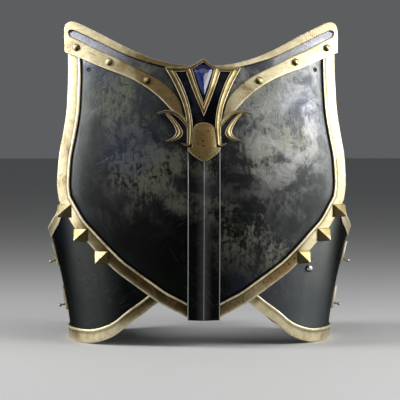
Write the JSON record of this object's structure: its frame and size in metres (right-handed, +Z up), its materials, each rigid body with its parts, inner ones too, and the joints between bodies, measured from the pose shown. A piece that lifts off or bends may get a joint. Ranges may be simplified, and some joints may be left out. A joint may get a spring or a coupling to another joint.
{
  "type": "cuirass breastplate with waist plates",
  "caption": "Steel breastplate with brass collar, bands, studs and a crest set with a blue stone, on two waist plates.",
  "frame": {"origin": "middle of the footprint box, on the surface that the waist plates' lower trims stand on", "axes": "+Z up, the breastplate faces -Y, +X to the wearer's left, which is the viewer's right"},
  "size_m": [0.376, 0.233, 0.3919],
  "materials": {
    "steel": "dark blued steel, scuffed and scratched",
    "dark_steel": "blackened steel backing",
    "brass": "aged brass with brown patina and worn edges",
    "copper_brass": "coppery brown brass, pitted",
    "silver_rivet": "bright steel rivet",
    "blue_stone": "deep blue cut stone"
  },
  "bodies": {
    "root": {"border_band_left": "brass", "border_band_right": "brass", "breast_plate": "steel", "centre_blade": "steel", "collar_rivet_left_1": "brass", "collar_rivet_left_2": "brass", "collar_rivet_left_3": "brass", "collar_rivet_right_1": "brass", "collar_rivet_right_2": "brass", "collar_rivet_right_3": "brass", "crest": "brass", "crest_backing": "dark_steel", "crest_boss": "copper_brass", "gem": "blue_stone", "lower_trim_left": "brass", "lower_trim_right": "brass", "mount_stud_left_lower": "brass", "mount_stud_left_upper": "brass", "mount_stud_right_lower": "brass", "mount_stud_right_upper": "brass", "neck_collar": "brass", "plate_rivet": "silver_rivet", "pyramid_stud_left_1": "brass", "pyramid_stud_left_2": "brass", "pyramid_stud_left_3": "brass", "pyramid_stud_right_1": "brass", "pyramid_stud_right_2": "brass", "pyramid_stud_right_3": "brass", "side_mount_left_lower": "brass", "side_mount_left_upper": "brass", "side_mount_right_lower": "brass", "side_mount_right_upper": "brass", "side_plate_left": "steel", "side_plate_right": "steel", "upper_trim_left": "brass", "upper_trim_right": "brass"}
  },
  "joints": []
}
